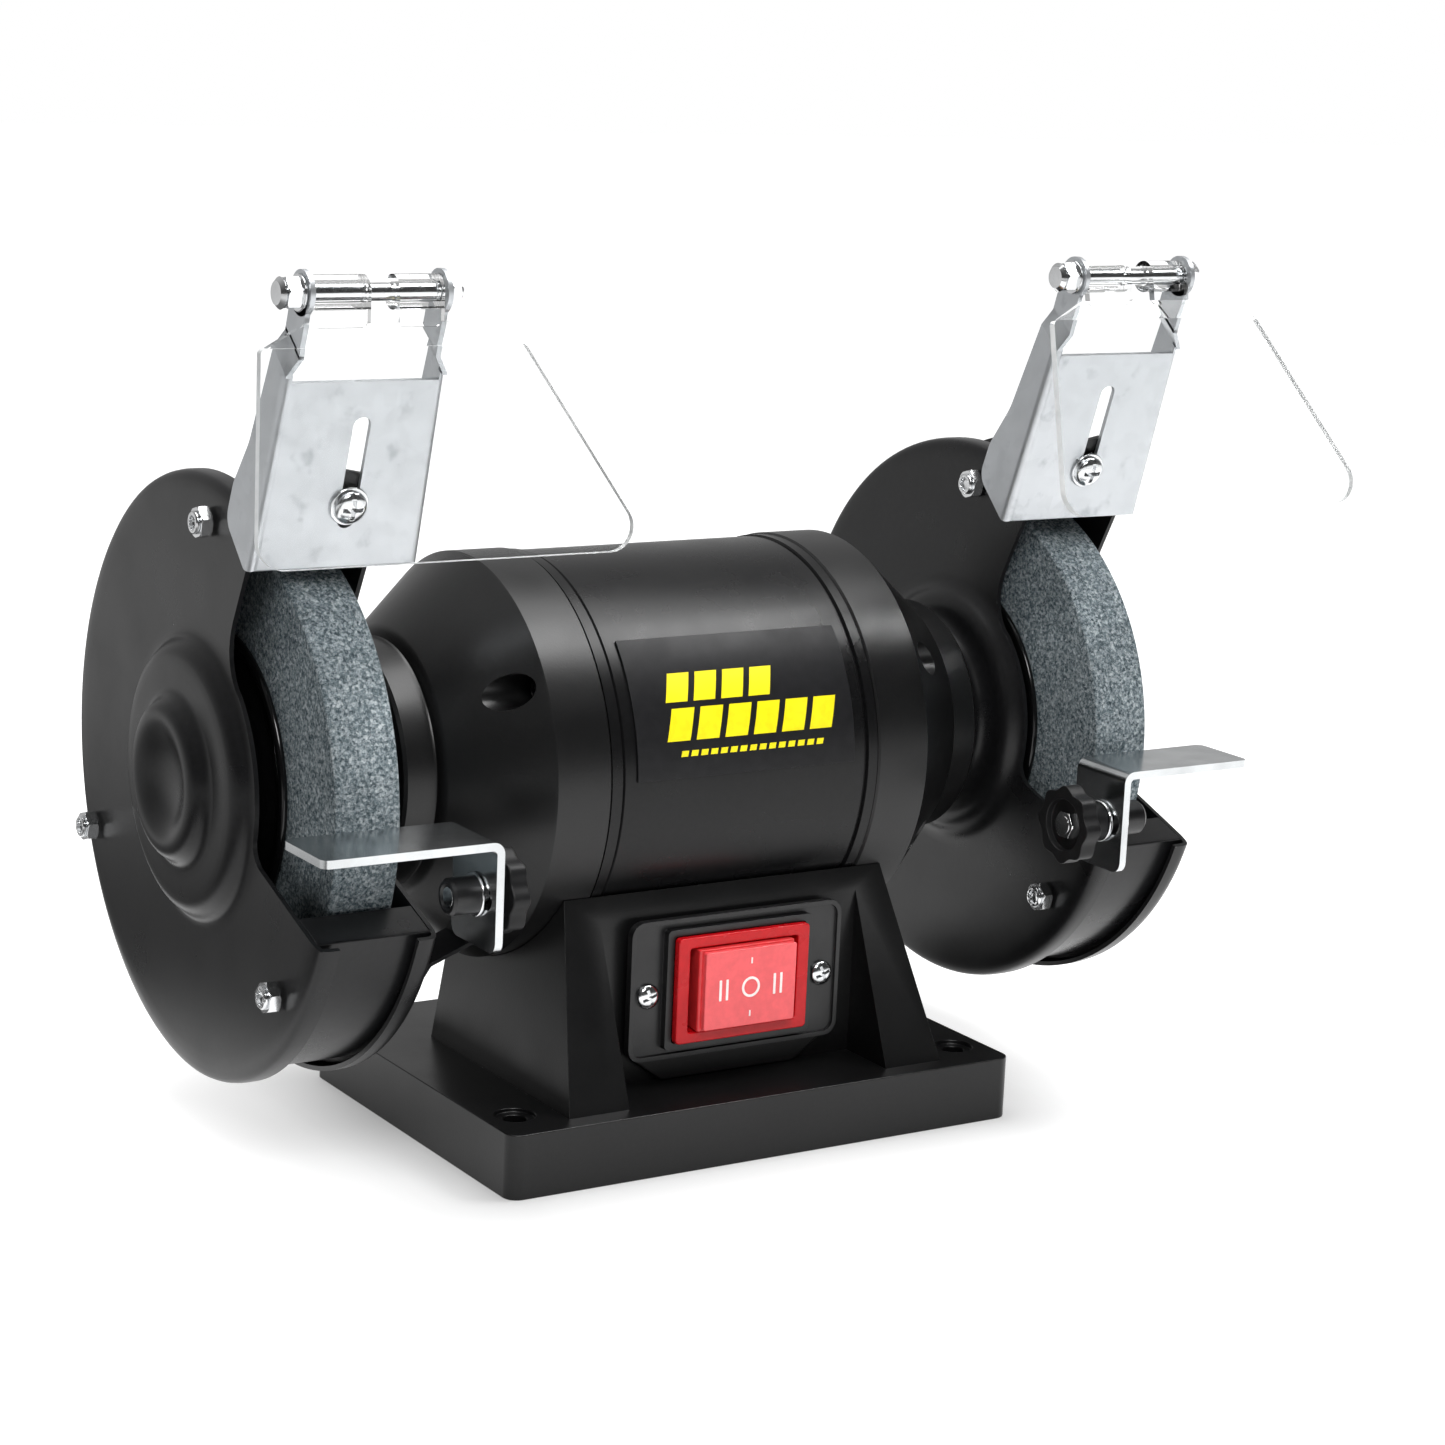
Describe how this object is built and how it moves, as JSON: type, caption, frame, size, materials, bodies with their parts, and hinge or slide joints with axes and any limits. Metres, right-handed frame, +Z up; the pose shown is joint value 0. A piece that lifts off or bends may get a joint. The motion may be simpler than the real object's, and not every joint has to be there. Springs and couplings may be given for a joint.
{
  "type": "bench grinder",
  "caption": "Bench-top electric grinder: round motor on a pedestal, a guarded grinding wheel at each end, with hinged clear eye shields, sliding tool rests and a front rocker switch.",
  "frame": {"origin": "on the underside that stands on the bench, straight below the middle of the spindle", "axes": "+X runs along the spindle, the operator stands on the -Y side, +Z is up"},
  "size_m": [0.387, 0.1925, 0.2715],
  "materials": {
    "cast_black": "fine textured black paint on cast iron",
    "guard_black": "satin black paint on sheet steel",
    "motor_black": "smooth black paint",
    "black_plastic": "moulded black plastic",
    "lamination": "stacked electrical steel",
    "copper": "varnished copper wire",
    "label": "printed charcoal film",
    "bright_steel": "bright turned steel",
    "zinc": "zinc plated",
    "abrasive": "mottled blue-grey bonded grit",
    "clear_plastic": "clear polycarbonate",
    "switch_red": "moulded red plastic"
  },
  "bodies": {
    "frame": {"base": "cast_black", "bottom_cover": "guard_black", "cable_gland": "black_plastic", "capacitor": "black_plastic", "motor_housing": "motor_black", "stator_core": "lamination", "label_plate": "label", "switch_housing": "black_plastic", "switch_body": "switch_red", "motor_bolt_1": "zinc", "motor_bolt_2": "zinc", "motor_bolt_3": "zinc", "motor_bolt_4": "zinc", "winding_left": "copper", "end_bell_left": "cast_black", "bearing_left": "bright_steel", "guard_inner_plate_left": "guard_black", "guard_outer_plate_left": "guard_black", "guard_band_left": "guard_black", "bracket_screw_left": "bright_steel", "switch_screw_left": "bright_steel", "rest_arm_left": "guard_black", "guard_bolt_left_1": "zinc", "guard_bolt_left_2": "zinc", "guard_bolt_left_3": "zinc", "winding_right": "copper", "end_bell_right": "cast_black", "bearing_right": "bright_steel", "guard_inner_plate_right": "guard_black", "guard_outer_plate_right": "guard_black", "guard_band_right": "guard_black", "bracket_screw_right": "bright_steel", "switch_screw_right": "bright_steel", "rest_arm_right": "guard_black", "guard_bolt_right_1": "zinc", "guard_bolt_right_2": "zinc", "guard_bolt_right_3": "zinc"},
    "rotor": {"spindle_shaft": "bright_steel", "rotor_core": "lamination", "wheel_left": "abrasive", "inner_flange_left": "motor_black", "outer_flange_left": "motor_black", "spindle_nut_left": "zinc", "wheel_right": "abrasive", "inner_flange_right": "motor_black", "outer_flange_right": "motor_black", "spindle_nut_right": "zinc"},
    "rocker": {"switch_rocker": "switch_red"},
    "bracket_left": {"shield_bracket_left": "zinc", "pivot_bolt_left": "bright_steel"},
    "shield_left": {"eye_shield_left": "clear_plastic"},
    "rest_left": {"tool_rest_left": "zinc"},
    "clamp_left": {"rest_knob_left": "black_plastic", "rest_nut_left": "black_plastic"},
    "bracket_right": {"shield_bracket_right": "zinc", "pivot_bolt_right": "bright_steel"},
    "shield_right": {"eye_shield_right": "clear_plastic"},
    "rest_right": {"tool_rest_right": "zinc"},
    "clamp_right": {"rest_knob_right": "black_plastic", "rest_nut_right": "black_plastic"}
  },
  "joints": [
    {"name": "spindle_spin", "type": "hinge", "parent": "frame", "child": "rotor", "pos_m": [0, 0, 0.114], "axis": [1, 0, 0], "continuous": true},
    {"name": "rocker_tilt", "type": "hinge", "parent": "frame", "child": "rocker", "pos_m": [0, -0.057, 0.05], "axis": [0, 0, 1], "range_deg": [-8, 8]},
    {"name": "bracket_slide_left", "type": "slide", "parent": "frame", "child": "bracket_left", "axis": [0, -0.309, 0.9511], "range_m": [-0.005, 0.0045]},
    {"name": "shield_swing_left", "type": "hinge", "parent": "bracket_left", "child": "shield_left", "pos_m": [-0.132, -0.066, 0.263], "axis": [-1, 0, 0], "range_deg": [0, 100]},
    {"name": "rest_slide_left", "type": "slide", "parent": "frame", "child": "rest_left", "axis": [0, 1, 0], "range_m": [-0.006, 0.002]},
    {"name": "clamp_turn_left", "type": "hinge", "parent": "frame", "child": "clamp_left", "pos_m": [-0.1, -0.0925, 0.0972], "axis": [1, 0, 0], "range_deg": [-180, 180]},
    {"name": "bracket_slide_right", "type": "slide", "parent": "frame", "child": "bracket_right", "axis": [0, -0.309, 0.9511], "range_m": [-0.005, 0.0023]},
    {"name": "shield_swing_right", "type": "hinge", "parent": "bracket_right", "child": "shield_right", "pos_m": [0.1308, -0.06668, 0.26509], "axis": [-1, 0, 0], "range_deg": [-12, 88]},
    {"name": "rest_slide_right", "type": "slide", "parent": "frame", "child": "rest_right", "axis": [0, 1, 0], "range_m": [-0.006, 0.002]},
    {"name": "clamp_turn_right", "type": "hinge", "parent": "frame", "child": "clamp_right", "pos_m": [0.1, -0.0925, 0.0972], "axis": [1, 0, 0], "range_deg": [-180, 180]}
  ]
}
